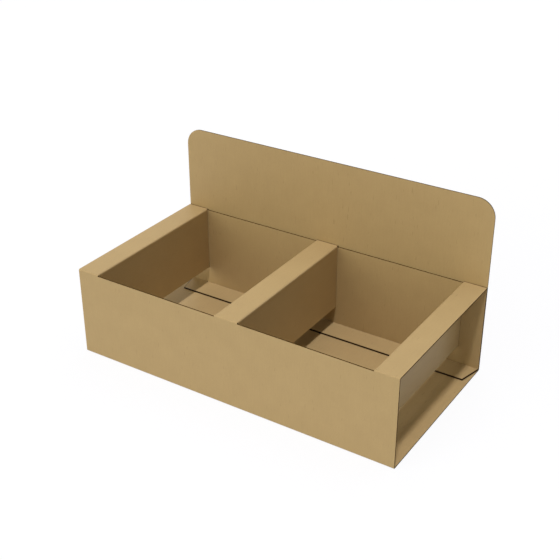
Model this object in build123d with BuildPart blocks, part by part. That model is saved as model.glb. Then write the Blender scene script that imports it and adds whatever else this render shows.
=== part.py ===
from build123d import *
from math import pi
import os

# Counter display stand with a header, folded and glued from one die-cut sheet of card.
# The sheet runs in one strip: header and back, floor, front, top, inner back and glue flap.
# Millimetres, +Z up, front towards -Y, origin at the middle of the underside.

# Card
sheet = 1.0
fold_inside = 0.1
glue_line = 0.1

# Outside of the folded stand
depth = 151.0
box_height = 77.8
header_rise = 73.8
header_corner = 15.0

# Top panel from end to end: strip, opening, strip, opening, strip
end_strip = 20.0
middle_strip = 21.0
opening = 114.5
wall_end_gap = 0.3

# Flap that closes the sleeve on the floor
glue_flap = 21.7
glue_flap_taper = 5.0

# Folds. A score lets the sheet turn about its inner face, so that face keeps its length.
half_sheet = sheet / 2
fold_middle = fold_inside + half_sheet
fold_outside = fold_inside + sheet
fold_arc = fold_inside * pi / 2

# Outer faces of the stand
width = 2 * end_strip + 2 * opening + middle_strip
front = -depth / 2
back = depth / 2
header_top = box_height + header_rise
inner_back = back - sheet - glue_line
flap_underside = sheet + glue_line
flap_edge = inner_back - glue_flap

# Middle lines of the panels that the folds join
front_line = front + half_sheet
back_line = back - half_sheet
floor_line = half_sheet
top_line = box_height - half_sheet
inner_back_line = inner_back - half_sheet
flap_line = flap_underside + half_sheet

# The cover of each opening is slit down its middle, and each half folds down as a wall.
# A wall's straight length is what its inner face has left between the fold and the slit.
opening_centre = (middle_strip + opening) / 2
wall_length = opening / 2 + fold_outside - fold_arc
wall_foot = box_height - fold_outside - wall_length
wall_front = front + fold_outside + wall_end_gap
wall_back = inner_back - fold_outside - wall_end_gap
wall_lap = 2 * fold_outside

with BuildPart() as display_stand:
    # One sheet, wrapped from the header's top edge round the sleeve to the glue flap's edge
    with BuildSketch(Plane.YZ):
        with BuildLine():
            FilletPolyline(
                (back_line, header_top),
                (back_line, floor_line),
                (front_line, floor_line),
                (front_line, top_line),
                (inner_back_line, top_line),
                (inner_back_line, flap_line),
                (flap_edge, flap_line),
                radius=fold_middle,
            )
        trace(line_width=sheet)
    extrude(amount=width / 2, both=True)

    # Openings cut from the front fold to the back fold, wider where the walls' folds go
    with BuildSketch(Plane.XY.offset(box_height)):
        with Locations((opening_centre, (front + inner_back) / 2)):
            Rectangle(opening, inner_back - front)
        with Locations((opening_centre, (wall_front + wall_back) / 2)):
            Rectangle(opening + 2 * fold_outside, wall_back - wall_front)
        mirror(about=Plane.YZ)
    extrude(amount=-fold_outside, mode=Mode.SUBTRACT)

    # Walls folded down from the edges of the strips
    with BuildSketch(Plane.XZ.offset(-wall_back)):
        for strip_edge, strip_side in ((middle_strip / 2, -1), (width / 2 - end_strip, 1)):
            wall_line = strip_edge + strip_side * half_sheet
            with BuildLine():
                FilletPolyline(
                    (wall_line + strip_side * wall_lap, top_line),
                    (wall_line, top_line),
                    (wall_line, wall_foot),
                    radius=fold_middle,
                )
            trace(line_width=sheet)
        mirror(about=Plane.YZ)
    extrude(amount=wall_back - wall_front)

    # Rounded top corners of the header
    fillet(display_stand.edges().filter_by(Axis.Y).group_by(Axis.Z)[-1], radius=header_corner)

    # Tapered ends of the glue flap, from its fold to its edge
    with BuildSketch(Plane.XY.offset(sheet + glue_line / 2)):
        with BuildLine():
            Polyline(
                (width / 2, inner_back - fold_outside),
                (width / 2, flap_edge),
                (width / 2 - glue_flap_taper, flap_edge),
                close=True,
            )
        make_face()
        mirror(about=Plane.YZ)
    extrude(amount=sheet + glue_line, mode=Mode.SUBTRACT)

os.makedirs("parts", exist_ok=True)
display_stand.part.label = "display_stand"
export_step(display_stand.part, "parts/display_stand.step")
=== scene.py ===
"""Looks of a counter display stand that is folded from one sheet of kraft card.

The stand is made as the real one is. A flat die-cut blank is meshed, a Geometry Nodes tree folds it along
its score lines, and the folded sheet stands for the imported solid. Metres, +Z up, front towards -Y.
"""

import logging
import math
from dataclasses import dataclass
from enum import Enum
from typing import Any

import bmesh
import bpy
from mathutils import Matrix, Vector


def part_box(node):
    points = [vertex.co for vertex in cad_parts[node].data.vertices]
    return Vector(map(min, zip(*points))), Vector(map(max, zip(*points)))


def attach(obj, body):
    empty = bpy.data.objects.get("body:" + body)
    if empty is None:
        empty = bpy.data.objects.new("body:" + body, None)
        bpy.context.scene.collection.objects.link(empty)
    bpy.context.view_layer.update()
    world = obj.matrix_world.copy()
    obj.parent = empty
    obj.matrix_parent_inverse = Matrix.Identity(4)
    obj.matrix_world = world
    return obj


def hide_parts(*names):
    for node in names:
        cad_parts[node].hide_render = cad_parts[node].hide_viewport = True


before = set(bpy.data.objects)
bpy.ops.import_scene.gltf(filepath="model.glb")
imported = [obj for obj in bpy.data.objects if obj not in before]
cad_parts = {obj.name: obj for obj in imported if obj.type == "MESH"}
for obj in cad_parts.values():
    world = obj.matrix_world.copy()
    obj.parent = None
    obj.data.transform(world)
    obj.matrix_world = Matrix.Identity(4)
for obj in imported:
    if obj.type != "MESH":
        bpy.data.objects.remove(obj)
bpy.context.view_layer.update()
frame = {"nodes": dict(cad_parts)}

log = logging.getLogger("display_stand")

Socket = bpy.types.NodeSocket
Triple = tuple[float, float, float]
Colour = Triple

UP = (0.0, 0.0, 1.0)
WHITE = (1.0, 1.0, 1.0, 1.0)

NODE = "display_stand"
BODY = "root"

# Keeps the folded sheet inside the solid's box when its places are rounded
SNUG = 1e-7

# Places nearer than this are one place, on the mesh and on a score line
SAME_PLACE = 1e-7
SCORE_SLACK = 1e-6

# Angle that a broad lamp fills
BROAD = math.radians(60.0)

# Attributes that the folded sheet carries for its materials
FLAT = "flat"
CREASE = "crease"
CUT = "cut"


class Over(Enum):
    """Direction across a score line, towards the part of the sheet that turns up."""

    FRONT = (0.0, -1.0, 0.0)
    BACK = (0.0, 1.0, 0.0)
    LEFT = (-1.0, 0.0, 0.0)
    RIGHT = (1.0, 0.0, 0.0)


class Graph:
    """One node tree, with short ways to add nodes and wire them."""

    def __init__(self, tree: bpy.types.NodeTree) -> None:
        """Keeps the tree that nodes are added to."""
        self.tree = tree

    def feed(self, target: Socket, source: Any) -> None:
        """Links the input to a socket, or sets a plain value on it.

        Args:
            target: The input.
            source: A socket of another node, or a value.
        """
        if isinstance(source, bpy.types.NodeSocket):
            self.tree.links.new(source, target)
        else:
            target.default_value = source

    def node(self, kind: str, feeds: dict[str, Any] | None = None, **options: Any) -> bpy.types.Node:
        """Adds a node.

        Args:
            kind: Blender's type name of the node.
            feeds: What goes into each named input, a socket or a value.
            options: The node's own settings.

        Returns:
            The new node.
        """
        made = self.tree.nodes.new(kind)
        for name, value in options.items():
            setattr(made, name, value)
        for name, source in (feeds or {}).items():
            self.feed(made.inputs[name], source)
        return made

    def math(self, operation: str, *sources: Any) -> Socket:
        """Adds a Math node.

        Args:
            operation: The node's operation.
            sources: Sockets or numbers, in the order of its inputs.

        Returns:
            The node's result.
        """
        made = self.node("ShaderNodeMath", operation=operation)
        for target, source in zip(made.inputs, sources):
            self.feed(target, source)
        return made.outputs["Value"]

    def vector(self, operation: str, *sources: Any) -> Socket:
        """Adds a Vector Math node.

        Args:
            operation: The node's operation.
            sources: Sockets or vectors, in the order of its inputs. SCALE takes a vector and a number.

        Returns:
            The node's result, a number for DOT_PRODUCT and a vector otherwise.
        """
        made = self.node("ShaderNodeVectorMath", operation=operation)
        targets = list(made.inputs)
        if operation == "SCALE":
            targets = [made.inputs["Vector"], made.inputs["Scale"]]
        for target, source in zip(targets, sources):
            self.feed(target, source)
        return made.outputs["Value" if operation == "DOT_PRODUCT" else "Vector"]

    def attribute(self, name: str, kind: str = "FLOAT") -> Socket:
        """Reads a named attribute in a Geometry Nodes tree."""
        reader = self.node("GeometryNodeInputNamedAttribute", {"Name": name}, data_type=kind)
        return reader.outputs["Attribute"]

    def mix(self, share: Any, first: Any, second: Any) -> Socket:
        """Mixes two colours by a share.

        Args:
            share: Socket or number, 0 for the first colour and 1 for the second.
            first: Socket or colour.
            second: Socket or colour.

        Returns:
            The mixed colour.
        """
        made = self.node("ShaderNodeMix", data_type="RGBA")
        for name, source in (("Factor_Float", share), ("A_Color", first), ("B_Color", second)):
            target = next(s for s in made.inputs if s.identifier == name)
            self.feed(target, (*source, 1.0) if isinstance(source, tuple) else source)
        return next(s for s in made.outputs if s.identifier == "Result_Color")

    def mix_shaders(self, share: Socket, first: Socket, second: Socket) -> Socket:
        """Mixes two shaders by a share.

        Args:
            share: 0 for the first shader and 1 for the second.
            first: The first shader.
            second: The second shader.

        Returns:
            The mixed shader.
        """
        made = self.node("ShaderNodeMixShader")
        for target, source in zip(made.inputs, (share, first, second)):
            self.feed(target, source)
        return made.outputs["Shader"]

    def ramp(self, value: Socket, low: float, high: float) -> Socket:
        """Rises smoothly from 0 at low to 1 at high."""
        feeds = {"Value": value, "From Min": low, "From Max": high}
        return self.node("ShaderNodeMapRange", feeds, interpolation_type="SMOOTHSTEP").outputs["Result"]

    def apart(self, place: Socket) -> dict[str, Socket]:
        """Takes a place apart into its X, Y and Z."""
        return {part.name: part for part in self.node("ShaderNodeSeparateXYZ", {"Vector": place}).outputs}


def new_group(name: str, kind: str, inputs: dict[str, str], outputs: dict[str, str]) -> Graph:
    """Starts a node group.

    Args:
        name: The group's name.
        kind: Blender's type name of the tree.
        inputs: Input names and their socket types, without the leading NodeSocket.
        outputs: Output names and their socket types, in the same way.

    Returns:
        The empty group, ready for nodes.
    """
    tree = bpy.data.node_groups.new(name, kind)
    for way, sockets in (("INPUT", inputs), ("OUTPUT", outputs)):
        for socket, shape in sockets.items():
            tree.interface.new_socket(name=socket, in_out=way, socket_type=f"NodeSocket{shape}")
    return Graph(tree)


@dataclass(frozen=True)
class Fold:
    """One score line of the blank and the part of the sheet that turns up beyond it."""

    name: str
    start: tuple[float, float]
    over: Over
    length: float
    reach: float


@dataclass(frozen=True)
class Stations:
    """Where folds start and end along the flat blank, from the header's edge to the glue flap's edge."""

    header_top: float
    back_foot: float
    floor_back: float
    floor_front: float
    front_head: float
    top_front: float
    top_back: float
    inner_head: float
    inner_foot: float
    flap_fold: float
    flap_edge: float


@dataclass(frozen=True)
class Marks:
    """Where shade is painted on the inner face, as places on the flat blank."""

    inner_face: float
    groove_shade_line: float
    strip_gap: tuple[float, float]
    flap_fold: float
    floor_under_fold: float
    flap_reach: float
    flap_half: float
    flap_taper: float


@dataclass
class DieCutBlank:
    """The flat sheet as it leaves the die, with its floor already where the folded stand has it."""

    width: float
    depth: float
    height: float
    sheet: float = 0.001
    fold_inside: float = 0.0001
    glue_line: float = 0.0001
    box_height: float = 0.0778
    header_corner: float = 0.015
    end_strip: float = 0.020
    middle_strip: float = 0.021
    wall_end_gap: float = 0.0003
    glue_flap: float = 0.0217
    glue_flap_taper: float = 0.005
    knife_kerf: float = 0.0001

    # How far under the top the strips' back folds bear on the header
    fold_drop: float = 0.0003

    # Mesh lines beside a bend, which keep its shading off the flat card, and steps round bends and corners
    shoulder: float = 0.001
    fold_steps: int = 8
    corner_steps: int = 12

    # A face of the flat slab whose normal rises less than this is a cut face
    steep: float = 0.5

    @property
    def fold_outside(self) -> float:
        """Radius of a fold at the sheet's outer face."""
        return self.fold_inside + self.sheet

    @property
    def fold_arc(self) -> float:
        """Length of the inner face that a right-angled fold takes up."""
        return self.fold_inside * math.pi / 2

    @property
    def middle_wall_fold(self) -> float:
        """Distance from the centre to where the middle strip's walls start to fold."""
        return self.middle_strip / 2 - self.fold_outside

    @property
    def end_wall_fold(self) -> float:
        """Distance from the centre to where an end strip's wall starts to fold."""
        return self.width / 2 - self.end_strip + self.fold_outside

    @property
    def slit(self) -> float:
        """Distance from the centre to the slit between the two walls of an opening."""
        return (self.middle_wall_fold + self.end_wall_fold) / 2

    @property
    def wall_length(self) -> float:
        """Length of a wall along its fold."""
        at = self.stations()
        return at.top_front - at.top_back - 2 * self.wall_end_gap

    def stations(self) -> Stations:
        """Adds up panels and folds in both directions from the floor.

        Returns:
            The places along the blank, as lengths on its inner face.
        """
        outside = self.fold_outside
        flap_underside = self.sheet + self.glue_line
        floor_back = self.depth / 2 - outside
        back_foot = floor_back + self.fold_arc
        front_foot = -floor_back - self.fold_arc
        front_head = front_foot - (self.box_height - 2 * outside)
        top_front = front_head - self.fold_arc
        top_back = top_front - (self.depth - flap_underside - 2 * outside)
        inner_head = top_back - self.fold_arc
        inner_foot = inner_head - (self.box_height - flap_underside - 2 * outside)
        flap_fold = inner_foot - self.fold_arc
        return Stations(
            header_top=back_foot + self.height - outside,
            back_foot=back_foot,
            floor_back=floor_back,
            floor_front=-floor_back,
            front_head=front_head,
            top_front=top_front,
            top_back=top_back,
            inner_head=inner_head,
            inner_foot=inner_foot,
            flap_fold=flap_fold,
            flap_edge=flap_fold - (self.glue_flap - outside),
        )

    def marks(self) -> Marks:
        """Works out where shade is painted on the sheet.

        Returns:
            The line where the strips bear on the header, the span between strips that they leave clear, and
            the glue flap's outline, both on the flap and on the floor under it.
        """
        at = self.stations()
        return Marks(
            inner_face=self.sheet / 2,
            groove_shade_line=at.back_foot + self.box_height - self.fold_outside - self.fold_drop,
            strip_gap=(self.middle_strip / 2, self.width / 2 - self.end_strip),
            flap_fold=at.flap_fold,
            floor_under_fold=at.floor_back - self.sheet - self.glue_line,
            flap_reach=at.flap_fold - at.flap_edge,
            flap_half=self.width / 2,
            flap_taper=self.glue_flap_taper,
        )

    def folds(self) -> list[Fold]:
        """Lists the folds in the order in which they are made, the furthest panel first.

        Returns:
            The four walls, then the sleeve from its glue flap to its front, then the back.
        """
        at = self.stations()
        cover = self.wall_length
        middle = (at.top_front + at.top_back) / 2
        reach = self.slit - self.middle_wall_fold
        walls = [
            Fold("Left end wall", (-self.end_wall_fold, middle), Over.RIGHT, cover, reach),
            Fold("Left middle wall", (-self.middle_wall_fold, middle), Over.LEFT, cover, reach),
            Fold("Right middle wall", (self.middle_wall_fold, middle), Over.RIGHT, cover, reach),
            Fold("Right end wall", (self.end_wall_fold, middle), Over.LEFT, cover, reach),
        ]
        whole = at.header_top - at.flap_edge
        sleeve = [
            Fold(name, (0.0, start), Over.FRONT, self.width, whole)
            for name, start in (
                ("Glue flap", at.inner_foot),
                ("Inner back", at.top_back),
                ("Top", at.front_head),
                ("Front", at.floor_front),
            )
        ]
        return [*walls, *sleeve, Fold("Back", (0.0, at.floor_back), Over.BACK, self.width, whole)]

    def bend_lines(self, start: float, way: float) -> list[float]:
        """Gives the mesh lines of one bend and of the flat card on both sides of it.

        Args:
            start: Where the bend starts.
            way: 1 or -1, the direction in which it runs.

        Returns:
            Places across the bend.
        """
        steps = [self.fold_arc * k / self.fold_steps for k in range(self.fold_steps + 1)]
        return [start + way * step for step in (-self.shoulder, *steps, self.fold_arc + self.shoulder)]

    def rows(self) -> list[float]:
        """Gives the mesh lines along the blank, from the glue flap to the header.

        Returns:
            Sorted places along the blank.
        """
        at = self.stations()
        lines = [at.flap_edge]
        for gap in (self.wall_end_gap, self.wall_end_gap - self.knife_kerf):
            lines += [at.top_front - gap, at.top_back + gap]
        for start in (at.inner_foot, at.top_back, at.front_head, at.floor_front):
            lines += self.bend_lines(start, -1.0)
        lines += self.bend_lines(at.floor_back, 1.0)
        for step in range(self.corner_steps + 1):
            rise = self.header_corner * math.sin(math.pi / 2 * step / self.corner_steps)
            lines.append(at.header_top - self.header_corner + rise)
        return sorted(lines)

    def columns(self) -> list[float]:
        """Gives the mesh lines across the blank, from the left end to the right.

        Returns:
            Sorted places across the blank.
        """
        half = [self.width / 2, self.width / 2 - self.header_corner]
        half += [self.slit - self.knife_kerf / 2, self.slit + self.knife_kerf / 2]
        half += self.bend_lines(self.middle_wall_fold, 1.0)
        half += self.bend_lines(self.end_wall_fold, -1.0)
        half += [self.middle_strip / 2, self.width / 2 - self.end_strip]
        return sorted([-x for x in half] + half)

    def half_width(self, y: float) -> float:
        """Half the blank's width at one place along it.

        Args:
            y: The place along the blank.

        Returns:
            The distance from the centre to the cut edge.
        """
        at = self.stations()
        half = self.width / 2
        over_corner = y - (at.header_top - self.header_corner)
        if over_corner > 0:
            chord = max(self.header_corner**2 - over_corner**2, 0.0)
            return half - self.header_corner + math.sqrt(chord)
        past_fold = (at.flap_fold - y) / (at.flap_fold - at.flap_edge)
        return half - self.glue_flap_taper * max(past_fold, 0.0)

    def is_card(self, x: float, y: float) -> bool:
        """Says whether a place on the blank is card or is cut away by the die.

        Args:
            x: The place across the blank.
            y: The place along it.

        Returns:
            True for card.
        """
        at = self.stations()
        side = abs(x)
        if not at.inner_head < y < at.front_head:
            return True
        past_wall = abs(y - (at.top_front + at.top_back) / 2) - self.wall_length / 2
        if past_wall < 0:
            return abs(side - self.slit) > self.knife_kerf / 2
        lip = 0.0 if past_wall < self.knife_kerf else self.fold_outside
        return side < self.middle_wall_fold + lip or side > self.end_wall_fold - lip

    def mesh(self) -> bpy.types.Mesh:
        """Meshes the blank as a closed slab.

        Returns:
            The mesh, with its cut faces marked.
        """
        shape = bmesh.new()
        corners: dict[tuple[int, int], bmesh.types.BMVert] = {}
        columns, rows = self.columns(), self.rows()

        def corner(x: float, y: float) -> bmesh.types.BMVert:
            """Finds or makes the corner at a grid place, pulled in to the blank's outline.

            Args:
                x: The place across the blank.
                y: The place along it.

            Returns:
                The corner.
            """
            limit = self.half_width(y)
            x = min(max(x, -limit), limit)
            key = (round(x / SAME_PLACE), round(y / SAME_PLACE))
            if key not in corners:
                corners[key] = shape.verts.new((x, y, 0.0))
            return corners[key]

        for y0, y1 in zip(rows, rows[1:]):
            for x0, x1 in zip(columns, columns[1:]):
                if self.is_card((x0 + x1) / 2, (y0 + y1) / 2):
                    ring = [corner(x0, y0), corner(x1, y0), corner(x1, y1), corner(x0, y1)]
                    shape.faces.new(dict.fromkeys(ring))
        grown = bmesh.ops.extrude_face_region(shape, geom=list(shape.faces))["geom"]
        upper = [part for part in grown if isinstance(part, bmesh.types.BMVert)]
        bmesh.ops.translate(shape, verts=upper, vec=(0.0, 0.0, self.sheet))
        bmesh.ops.recalc_face_normals(shape, faces=list(shape.faces))

        # The extrusion adds the cut faces in no fixed order
        ranked = sorted(shape.faces, key=lambda face: tuple(face.calc_center_median()))
        rank = {face: place for place, face in enumerate(ranked)}
        shape.faces.sort(key=rank.get)

        mesh = bpy.data.meshes.new("die_cut_blank")
        shape.normal_update()
        cut = [abs(face.normal.z) < self.steep for face in shape.faces]
        shape.to_mesh(mesh)
        shape.free()
        mesh.attributes.new(CUT, "BOOLEAN", "FACE").data.foreach_set("value", cut)
        return mesh


class FoldingTree:
    """Geometry Nodes that turn the flat blank into the folded sheet, one score line after another."""

    def __init__(self, folds: list[Fold]) -> None:
        """Builds the tree.

        Args:
            folds: The folds, in the order in which they are made.
        """
        sizes = {"Fold radius": "Float", "Fold turn": "Float"}
        for fold in folds:
            sizes[f"{fold.name} start"] = "Vector"
            sizes[f"{fold.name} length"] = "Float"
            sizes[f"{fold.name} reach"] = "Float"
        finishes = {"Liner": "Material", "Cut edge": "Material"}
        sheet = {"Geometry": "Geometry"}
        self.folds = folds
        self.graph = new_group("Folded sheet", "GeometryNodeTree", sheet | sizes | finishes, sheet)
        self.fold_line = self.fold_group()
        self.wire()

    @staticmethod
    def fold_group() -> bpy.types.NodeTree:
        """Builds the group that folds the sheet on one line.

        The flat place says how far a point is past the line, and so how far it has turned. The part beyond
        the bend may be folded already, and turns as it stands.

        Returns:
            The group.
        """
        group = new_group(
            "Fold on a score line",
            "GeometryNodeTree",
            {
                "Geometry": "Geometry",
                "Start": "Vector",
                "Over": "Vector",
                "Length": "Float",
                "Reach": "Float",
                "Radius": "Float",
                "Turn": "Float",
            },
            {"Geometry": "Geometry"},
        )
        given = group.node("NodeGroupInput").outputs
        radius, over = given["Radius"], given["Over"]
        lay = group.vector("SUBTRACT", group.attribute(FLAT, "FLOAT_VECTOR"), given["Start"])
        past = group.vector("DOT_PRODUCT", lay, over)
        along = group.vector("DOT_PRODUCT", lay, group.vector("CROSS_PRODUCT", over, UP))
        rolled = group.math("MAXIMUM", group.math("DIVIDE", past, radius), 0.0)
        turned = group.math("MINIMUM", rolled, given["Turn"])
        sine, cosine = group.math("SINE", turned), group.math("COSINE", turned)

        position = group.node("GeometryNodeInputPosition").outputs["Position"]
        place = group.vector("SUBTRACT", position, given["Start"])
        out = group.vector("DOT_PRODUCT", place, over)
        up = group.vector("DOT_PRODUCT", place, UP)
        beyond = group.math("SUBTRACT", out, group.math("MULTIPLY", radius, turned))
        inward = group.math("SUBTRACT", radius, up)
        new_out = group.math("MULTIPLY_ADD", beyond, cosine, group.math("MULTIPLY", inward, sine))
        fall = group.math("MULTIPLY", inward, cosine)
        new_up = group.math("SUBTRACT", group.math("MULTIPLY_ADD", beyond, sine, radius), fall)
        move_out = group.vector("SCALE", over, group.math("SUBTRACT", new_out, out))
        move_up = group.vector("SCALE", UP, group.math("SUBTRACT", new_up, up))

        half = group.math("ADD", group.math("DIVIDE", given["Length"], 2.0), SCORE_SLACK)
        on_line = group.math("LESS_THAN", group.math("ABSOLUTE", along), half)
        in_reach = group.math("LESS_THAN", past, given["Reach"])
        turns = group.math("GREATER_THAN", past, SCORE_SLACK)
        chosen = group.math("MULTIPLY", group.math("MULTIPLY", on_line, in_reach), turns)
        move = group.vector("ADD", move_out, move_up)
        moved = group.node(
            "GeometryNodeSetPosition",
            {"Geometry": given["Geometry"], "Selection": chosen, "Offset": move},
        )
        bend = group.math("MULTIPLY_ADD", radius, given["Turn"], SCORE_SLACK)
        started = group.math("GREATER_THAN", past, -SCORE_SLACK)
        in_bend = group.math("MULTIPLY", started, group.math("LESS_THAN", past, bend))
        crease = group.math("MAXIMUM", group.attribute(CREASE), group.math("MULTIPLY", in_bend, on_line))
        marked = group.node(
            "GeometryNodeStoreNamedAttribute",
            {"Geometry": moved.outputs["Geometry"], "Name": CREASE, "Value": crease},
            data_type="FLOAT",
        )
        group.node("NodeGroupOutput", {"Geometry": marked.outputs["Geometry"]})
        return group.tree

    def wire(self) -> None:
        """Strings the folds together and ends with the finishes of the faces and of the cut edges."""
        graph = self.graph
        given = graph.node("NodeGroupInput").outputs
        position = graph.node("GeometryNodeInputPosition").outputs["Position"]
        sheet = graph.node(
            "GeometryNodeStoreNamedAttribute",
            {"Geometry": given["Geometry"], "Name": FLAT, "Value": position},
            data_type="FLOAT_VECTOR",
        )
        for fold in self.folds:
            feeds = {
                "Geometry": sheet.outputs["Geometry"],
                "Start": given[f"{fold.name} start"],
                "Over": fold.over.value,
                "Length": given[f"{fold.name} length"],
                "Reach": given[f"{fold.name} reach"],
                "Radius": given["Fold radius"],
                "Turn": given["Fold turn"],
            }
            sheet = graph.node("GeometryNodeGroup", feeds, node_tree=self.fold_line)
        whole = graph.node("GeometryNodeRealizeInstances", {"Geometry": sheet.outputs["Geometry"]})
        faced = graph.node(
            "GeometryNodeSetMaterial", {"Geometry": whole.outputs["Geometry"], "Material": given["Liner"]}
        )
        edged = graph.node(
            "GeometryNodeSetMaterial",
            {
                "Geometry": faced.outputs["Geometry"],
                "Selection": graph.attribute(CUT, "BOOLEAN"),
                "Material": given["Cut edge"],
            },
        )
        graph.node("NodeGroupOutput", {"Geometry": edged.outputs["Geometry"]})

    def apply(self, piece: bpy.types.Object, values: dict[str, Any]) -> None:
        """Folds a piece and leaves it as a plain mesh.

        Args:
            piece: The flat blank.
            values: A value for each of the tree's named inputs.
        """
        modifier = piece.modifiers.new("Fold", "NODES")
        modifier.node_group = self.graph.tree
        for item in self.graph.tree.interface.items_tree:
            if item.in_out == "INPUT" and item.name in values:
                modifier[item.identifier] = values[item.name]
        graph = bpy.context.evaluated_depsgraph_get()
        evaluated = piece.evaluated_get(graph)
        folded = bpy.data.meshes.new_from_object(evaluated, preserve_all_data_layers=True, depsgraph=graph)
        flat = piece.data
        piece.modifiers.remove(modifier)
        piece.data = folded
        folded.name = piece.name
        bpy.data.meshes.remove(flat)


@dataclass(frozen=True)
class FibreGrain:
    """Fibres of card, laid along the sheet's own length, as a shader group that its finishes share."""

    fibre_layers: float = 3.0
    fibre_share: float = 0.55
    streak_stretch: Triple = (0.22, 0.16, 0.6)
    streak_layers: float = 2.0
    streak_share: float = 0.3
    cloud_layers: float = 3.0
    cloud_share: float = 0.4
    shive_layers: float = 0.0
    shive_stretch: Triple = (0.45, 0.3, 0.8)
    shive_range: tuple[float, float] = (0.78, 0.86)
    layer_fade: float = 0.55

    def build(self) -> bpy.types.NodeTree:
        """Builds the group.

        Returns:
            The group. Its tone and relief are about 0.5 on average, and its flecks are 0 between them.
        """
        inputs = {"Flat": "Vector", "Fibre": "Vector", "Cloud": "Float"}
        outputs = {"Tone": "Float", "Relief": "Float", "Flecks": "Float"}
        group = new_group("Card fibres", "ShaderNodeTree", inputs, outputs)
        given = group.node("NodeGroupInput").outputs
        middle = 0.5
        place = group.vector("DIVIDE", given["Flat"], given["Fibre"])
        fibres = self.noise(group, place, self.fibre_layers)
        streaks = self.noise(group, group.vector("MULTIPLY", place, self.streak_stretch), self.streak_layers)
        shives = self.noise(group, group.vector("MULTIPLY", place, self.shive_stretch), self.shive_layers)
        cloud_place = group.vector("SCALE", given["Flat"], group.math("DIVIDE", 1.0, given["Cloud"]))
        clouds = self.noise(group, cloud_place, self.cloud_layers)
        tone: Any = middle
        for pattern, share in (
            (fibres, self.fibre_share),
            (streaks, self.streak_share),
            (clouds, self.cloud_share),
        ):
            tone = group.math("MULTIPLY_ADD", group.math("SUBTRACT", pattern, middle), share, tone)
        flecks = group.ramp(shives, *self.shive_range)
        group.node("NodeGroupOutput", {"Tone": tone, "Relief": fibres, "Flecks": flecks})
        return group.tree

    def noise(self, group: Graph, place: Socket, layers: float) -> Socket:
        """Adds a noise that turns once in about one unit of its place.

        Args:
            group: The group that it is added to.
            place: Where the noise is read.
            layers: How many finer layers it has.

        Returns:
            The noise, from 0 to 1.
        """
        feeds = {"Vector": place, "Scale": 1.0, "Detail": layers, "Roughness": self.layer_fade}
        return group.node("ShaderNodeTexNoise", feeds, noise_dimensions="3D").outputs["Fac"]


@dataclass(frozen=True)
class CardNodes:
    """A card material in the making."""

    material: bpy.types.Material
    graph: Graph
    shader: bpy.types.Node
    flat: dict[str, Socket]
    colour: Socket


@dataclass(frozen=True)
class CardFinish:
    """What the liner and the cut edge of the card have in common."""

    name: str
    shade: Colour
    pale: Colour
    fleck: Colour
    fibre: Triple
    cloud: float
    fleck_share: float
    roughness: tuple[float, float]
    relief: float
    relief_strength: float
    specular: float

    def start(self, grain: bpy.types.NodeTree) -> CardNodes:
        """Makes the material with its fibres.

        Args:
            grain: The shared group of card fibres.

        Returns:
            The material and what further nodes join on to.
        """
        material = bpy.data.materials.new(self.name)
        material.use_nodes = True
        graph = Graph(material.node_tree)
        shader = material.node_tree.nodes["Principled BSDF"]
        place = graph.node("ShaderNodeAttribute", attribute_name=FLAT).outputs["Vector"]
        feeds = {"Flat": place, "Fibre": self.fibre, "Cloud": self.cloud}
        fibres = graph.node("ShaderNodeGroup", feeds, node_tree=grain)
        colour = graph.mix(fibres.outputs["Tone"], self.shade, self.pale)
        flecks = graph.math("MULTIPLY", fibres.outputs["Flecks"], self.fleck_share)
        colour = graph.mix(flecks, colour, self.fleck)
        smooth, rough = self.roughness
        dull = graph.math("MULTIPLY_ADD", fibres.outputs["Tone"], rough - smooth, smooth)
        bump = graph.node(
            "ShaderNodeBump",
            {"Strength": self.relief_strength, "Distance": self.relief, "Height": fibres.outputs["Relief"]},
        )
        shader.inputs["Specular IOR Level"].default_value = self.specular
        graph.feed(shader.inputs["Roughness"], dull)
        graph.feed(shader.inputs["Normal"], bump.outputs["Normal"])
        return CardNodes(material, graph, shader, graph.apart(place), colour)


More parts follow.
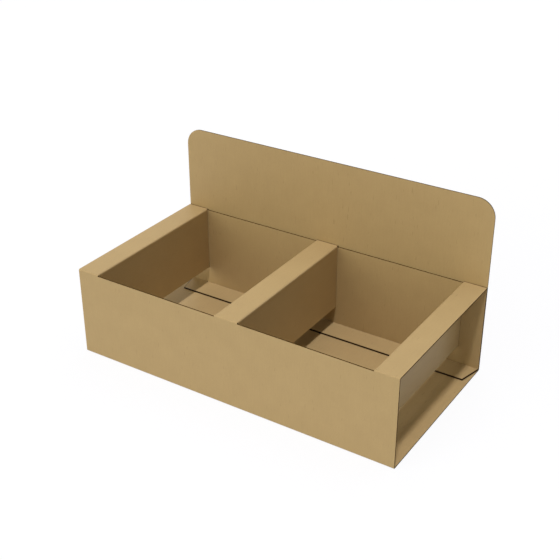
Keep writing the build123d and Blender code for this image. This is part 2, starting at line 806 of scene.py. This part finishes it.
@dataclass(frozen=True)
class KraftLiner(CardFinish):
    """Uncoated kraft face of the card, with painted shade in its folds, by the header and round the glue
    flap.
    """

    name: str = "kraft_liner"
    shade: Colour = (0.364, 0.250, 0.106)
    pale: Colour = (0.478, 0.340, 0.154)
    fleck: Colour = (0.235, 0.145, 0.055)
    fibre: Triple = (0.00025, 0.0022, 0.0005)
    cloud: float = 0.018
    fleck_share: float = 0.45
    roughness: tuple[float, float] = (0.44, 0.58)
    relief: float = 0.00004
    relief_strength: float = 0.35
    specular: float = 0.25
    # Along the bends: painted shade on the outer face; crushed fibre and painted shade on the inner face
    outer_fold_shade: Colour = (0.405, 0.284, 0.125)
    crushed_and_shaded: Colour = (0.300, 0.200, 0.085)
    crease_share: float = 0.35
    # Painted shade in the groove where the strips' back folds meet the header
    groove_shade_tint: Colour = (0.120, 0.070, 0.022)
    groove_shade_share: float = 0.85
    groove_shade_width: float = 0.0006
    # Painted shade round the glue flap's edge, on the flap and the floor beside it, for the gap under the
    # flap
    flap_shade_tint: Colour = (0.040, 0.020, 0.006)
    flap_shade_share: float = 0.9
    flap_shade_width: float = 0.001

    def material(self, grain: bpy.types.NodeTree, marks: Marks) -> bpy.types.Material:
        """Makes the liner's material.

        Args:
            grain: The shared group of card fibres.
            marks: Where the sheet is marked.

        Returns:
            The material.
        """
        card = self.start(grain)
        graph = card.graph
        inside = graph.math("GREATER_THAN", card.flat["Z"], marks.inner_face)
        crease = graph.node("ShaderNodeAttribute", attribute_name=CREASE).outputs["Fac"]
        # Painted shade in the groove by the header, only on the inner face
        groove_shade = graph.math("MULTIPLY", self.groove_shade_mark(card, marks), inside)
        # Painted shade round the glue flap, only on the inner face
        flap_shade = graph.math("MULTIPLY", self.flap_shade_mark(card, marks), inside)
        colour = card.colour
        for mark, share, tint in (
            # Folds: painted shade outside, crushed fibre and painted shade inside
            (crease, self.crease_share, graph.mix(inside, self.outer_fold_shade, self.crushed_and_shaded)),
            (groove_shade, self.groove_shade_share, self.groove_shade_tint),
            (flap_shade, self.flap_shade_share, self.flap_shade_tint),
        ):
            colour = graph.mix(graph.math("MULTIPLY", mark, share), colour, tint)
        graph.feed(card.shader.inputs["Base Color"], colour)
        return card.material

    def groove_shade_mark(self, card: CardNodes, marks: Marks) -> Socket:
        """Finds the painted shade line on the header, in the groove where the strips' back folds bear on it.

        Args:
            card: The liner's material in the making.
            marks: Where the sheet is marked.

        Returns:
            1 on the line behind a strip, falling to 0 on both sides of it, and 0 between strips.
        """
        graph = card.graph
        away = graph.math("ABSOLUTE", graph.math("SUBTRACT", card.flat["Y"], marks.groove_shade_line))
        line = graph.math("SUBTRACT", 1.0, graph.ramp(away, 0.0, self.groove_shade_width))
        side = graph.math("ABSOLUTE", card.flat["X"])
        near, far = marks.strip_gap
        by_middle = graph.math("LESS_THAN", side, near)
        by_end = graph.math("GREATER_THAN", side, far)
        return graph.math("MULTIPLY", line, graph.math("ADD", by_middle, by_end))

    def flap_shade_mark(self, card: CardNodes, marks: Marks) -> Socket:
        """Finds the painted shade band along the glue flap's outline, on the flap and on the floor beside it.

        Args:
            card: The liner's material in the making.
            marks: Where the sheet is marked.

        Returns:
            1 on the outline, falling to 0 on both sides of it.
        """
        graph = card.graph
        on_flap = graph.math("LESS_THAN", card.flat["Y"], marks.flap_fold)
        lift = marks.flap_fold - marks.floor_under_fold
        fold = graph.math("MULTIPLY_ADD", on_flap, lift, marks.floor_under_fold)
        out = graph.math("SUBTRACT", fold, card.flat["Y"])
        past_edge = graph.math("SUBTRACT", out, marks.flap_reach)
        slope = marks.flap_taper / marks.flap_reach
        side = graph.math("ABSOLUTE", card.flat["X"])
        past_end = graph.math("SUBTRACT", graph.math("MULTIPLY_ADD", out, slope, side), marks.flap_half)
        away = graph.math("ABSOLUTE", graph.math("MAXIMUM", past_edge, past_end))
        band = graph.math("SUBTRACT", 1.0, graph.ramp(away, 0.0, self.flap_shade_width))
        return graph.math("MULTIPLY", band, graph.math("GREATER_THAN", out, 0.0))


@dataclass(frozen=True)
class CutEdge(CardFinish):
    """Raw die-cut edge of the card, dark brown with plies along it, with painted shade on the glue flap's
    edges.
    """

    name: str = "cut_edge"
    shade: Colour = (0.034, 0.017, 0.004)
    pale: Colour = (0.074, 0.042, 0.009)
    fleck: Colour = (0.15, 0.09, 0.03)
    fibre: Triple = (0.0009, 0.0009, 0.00012)
    cloud: float = 0.009
    fleck_share: float = 0.5
    roughness: tuple[float, float] = (0.85, 0.98)
    relief: float = 0.00006
    relief_strength: float = 0.6
    specular: float = 0.03
    # Painted shade on the glue flap's cut edges
    flap_shade_tint: Colour = (0.010, 0.004, 0.001)
    flap_shade_share: float = 0.85

    def material(self, grain: bpy.types.NodeTree, marks: Marks) -> bpy.types.Material:
        """Makes the cut edge's material.

        Args:
            grain: The shared group of card fibres.
            marks: Where the sheet is marked.

        Returns:
            The material.
        """
        card = self.start(grain)
        graph = card.graph
        # The glue flap's cut edges get painted shade
        shaded_flap_edge = graph.math("LESS_THAN", card.flat["Y"], marks.flap_fold)
        share = graph.math("MULTIPLY", shaded_flap_edge, self.flap_shade_share)
        graph.feed(card.shader.inputs["Base Color"], graph.mix(share, card.colour, self.flap_shade_tint))
        return card.material


@dataclass
class FoldedStand:
    """The display stand: one blank, folded and finished."""

    blank: DieCutBlank
    grain: FibreGrain
    liner: KraftLiner
    cut_edge: CutEdge
    smooth_angle: float = math.radians(25.0)

    def build(self) -> bpy.types.Object:
        """Folds the blank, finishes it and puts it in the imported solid's place.

        Returns:
            The finished piece.
        """
        piece = bpy.data.objects.new("folded_stand", self.blank.mesh())
        bpy.context.scene.collection.objects.link(piece)
        folds = self.blank.folds()
        FoldingTree(folds).apply(piece, self.values(folds))
        piece.data.polygons.foreach_set("use_smooth", [True] * len(piece.data.polygons))
        piece.data.set_sharp_from_angle(angle=self.smooth_angle)
        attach(piece, BODY)
        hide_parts(NODE)
        return piece

    def values(self, folds: list[Fold]) -> dict[str, Any]:
        """Names what the folding tree needs.

        Args:
            folds: The folds that the tree makes.

        Returns:
            A value for each named input of the tree.
        """
        blank = self.blank
        marks = blank.marks()
        grain = self.grain.build()
        values: dict[str, Any] = {
            "Fold radius": blank.fold_inside,
            "Fold turn": math.pi / 2,
            "Liner": self.liner.material(grain, marks),
            "Cut edge": self.cut_edge.material(grain, marks),
        }
        for fold in folds:
            values[f"{fold.name} start"] = (*fold.start, blank.sheet)
            values[f"{fold.name} length"] = fold.length
            values[f"{fold.name} reach"] = fold.reach
        return values


@dataclass(frozen=True)
class SoftLamp:
    """A lamp far enough from the stand to light all of it alike.

    Its level is how bright a white card that faces it gets from it, with 1 for white. Its spread is the angle
    that it fills, which softens its shadows.
    """

    name: str
    towards: Triple
    level: float
    spread: float
    tint: Colour = (1.0, 1.0, 1.0)

    def build(self) -> None:
        """Adds the lamp, which gloss doesn't show: gloss shows the white background in its place."""
        lamp = bpy.data.lights.new(self.name, "SUN")
        lamp.energy = self.level * math.pi
        lamp.angle = self.spread
        lamp.color = self.tint
        holder = bpy.data.objects.new(self.name, lamp)
        holder.rotation_mode = "QUATERNION"
        holder.rotation_quaternion = Vector(self.towards).to_track_quat("Z", "Y")
        holder.visible_glossy = False
        bpy.context.scene.collection.objects.link(holder)


def shown(graph: Graph) -> Socket:
    """Tells where the white of the studio itself shows, straight or in gloss or glass.

    Args:
        graph: The material or world that asks.

    Returns:
        1 where it shows, and 0 where it only lights.
    """
    rays = graph.node("ShaderNodeLightPath").outputs
    shine = graph.math("MAXIMUM", rays["Is Glossy Ray"], rays["Is Transmission Ray"])
    return graph.math("MAXIMUM", rays["Is Camera Ray"], shine)


@dataclass(frozen=True)
class WhiteFloor:
    """Finish of the floor: pale paint that shows as white and keeps a faint shadow."""

    tone: float = 0.68
    glow: float = 1.06
    shadow: float = 0.2

    def material(self) -> bpy.types.Material:
        """Makes the floor's material.

        Returns:
            The material.
        """
        material = bpy.data.materials.new("white_floor")
        material.use_nodes = True
        material.node_tree.nodes.clear()
        graph = Graph(material.node_tree)
        paint = graph.node("ShaderNodeBsdfDiffuse", {"Color": (self.tone, self.tone, self.tone, 1.0)})
        glow = graph.node("ShaderNodeEmission", {"Color": WHITE, "Strength": self.glow})
        share = graph.math("MULTIPLY", shown(graph), 1.0 - self.shadow)
        mixed = graph.mix_shaders(share, paint.outputs["BSDF"], glow.outputs["Emission"])
        graph.node("ShaderNodeOutputMaterial", {"Surface": mixed})
        return material


@dataclass
class Studio:
    """White floor and background, a lamp overhead and broad lamps around the stand."""

    floor_radius: float = 5.0
    floor_drop: float = 0.0002
    floor_sides: int = 96
    floor: WhiteFloor = WhiteFloor()
    surround: float = 0.005
    background: float = 1.0
    lamps: tuple[SoftLamp, ...] = (
        SoftLamp("overhead_lamp", (0.13, -0.30, 1.0), 0.575, math.radians(4.5), (1.0, 1.0, 1.14)),
        SoftLamp("low_front_lamp", (-0.20, -0.95, 0.10), 0.460, BROAD, (1.0, 0.99, 0.86)),
        SoftLamp("high_front_lamp", (0.0, -0.50, 0.87), 0.165, BROAD),
        SoftLamp("left_lamp", (-0.66, -0.66, 0.34), 0.195, BROAD),
        SoftLamp("right_lamp", (0.82, 0.0, 0.57), 0.052, BROAD),
        SoftLamp("back_lamp", (0.0, 0.50, 0.87), 0.325, BROAD),
    )

    def build(self) -> None:
        """Sets up the floor, the surround and the lamps."""
        self.add_floor()
        self.set_surround()
        for lamp in self.lamps:
            lamp.build()

    def add_floor(self) -> None:
        """Lays a round floor just under the stand."""
        shape = bmesh.new()
        bmesh.ops.create_circle(shape, cap_ends=True, segments=self.floor_sides, radius=self.floor_radius)
        bmesh.ops.translate(shape, verts=list(shape.verts), vec=(0.0, 0.0, -self.floor_drop))
        mesh = bpy.data.meshes.new("floor")
        shape.to_mesh(mesh)
        shape.free()
        mesh.materials.append(self.floor.material())
        floor = bpy.data.objects.new("floor", mesh)
        bpy.context.scene.collection.objects.link(floor)

    def set_surround(self) -> None:
        """Lights from all sides alike, behind a background that shows as white."""
        world = bpy.data.worlds.new("surround")
        world.use_nodes = True
        bpy.context.scene.world = world
        world.node_tree.nodes.clear()
        graph = Graph(world.node_tree)
        light, white = (
            graph.node("ShaderNodeBackground", {"Color": WHITE, "Strength": strength}).outputs["Background"]
            for strength in (self.surround, self.background)
        )
        mixed = graph.mix_shaders(shown(graph), light, white)
        graph.node("ShaderNodeOutputWorld", {"Surface": mixed})


@dataclass
class PhotoCamera:
    """The photograph's view of the stand, from the front right and above."""

    azimuth: float = math.radians(32.729)
    elevation: float = math.radians(28.926)
    distance: float = 0.83857
    aim: Triple = (-0.00021, 0.0, 0.07591)
    focal_length: float = 67.668
    sensor: float = 36.0
    nearest: float = 0.01

    def build(self) -> None:
        """Sets up the scene's camera."""
        level = math.cos(self.elevation)
        right, front = math.sin(self.azimuth) * level, math.cos(self.azimuth) * level
        back = Vector((right, -front, math.sin(self.elevation)))
        data = bpy.data.cameras.new("photo_camera")
        data.lens = self.focal_length
        data.sensor_width = self.sensor
        data.clip_start = self.nearest
        camera = bpy.data.objects.new("photo_camera", data)
        camera.location = Vector(self.aim) + back * self.distance
        camera.rotation_mode = "QUATERNION"
        camera.rotation_quaternion = (-back).to_track_quat("-Z", "Y")
        bpy.context.scene.collection.objects.link(camera)
        bpy.context.scene.camera = camera


def main() -> None:
    """Builds the camera, the studio and the stand."""
    logging.basicConfig(level=logging.INFO, format="%(name)s: %(message)s")
    log.info("The frame holds %s", ", ".join(frame["nodes"]))
    bpy.context.scene.view_settings.view_transform = "Standard"
    PhotoCamera().build()
    Studio().build()
    low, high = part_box(NODE)
    size = high - low
    blank = DieCutBlank(width=size.x, depth=size.y, height=size.z - SNUG)
    piece = FoldedStand(blank, FibreGrain(), KraftLiner(), CutEdge()).build()
    log.info("%s has %d faces and stands for %s", piece.name, len(piece.data.polygons), NODE)


if __name__ == "__main__":
    main()
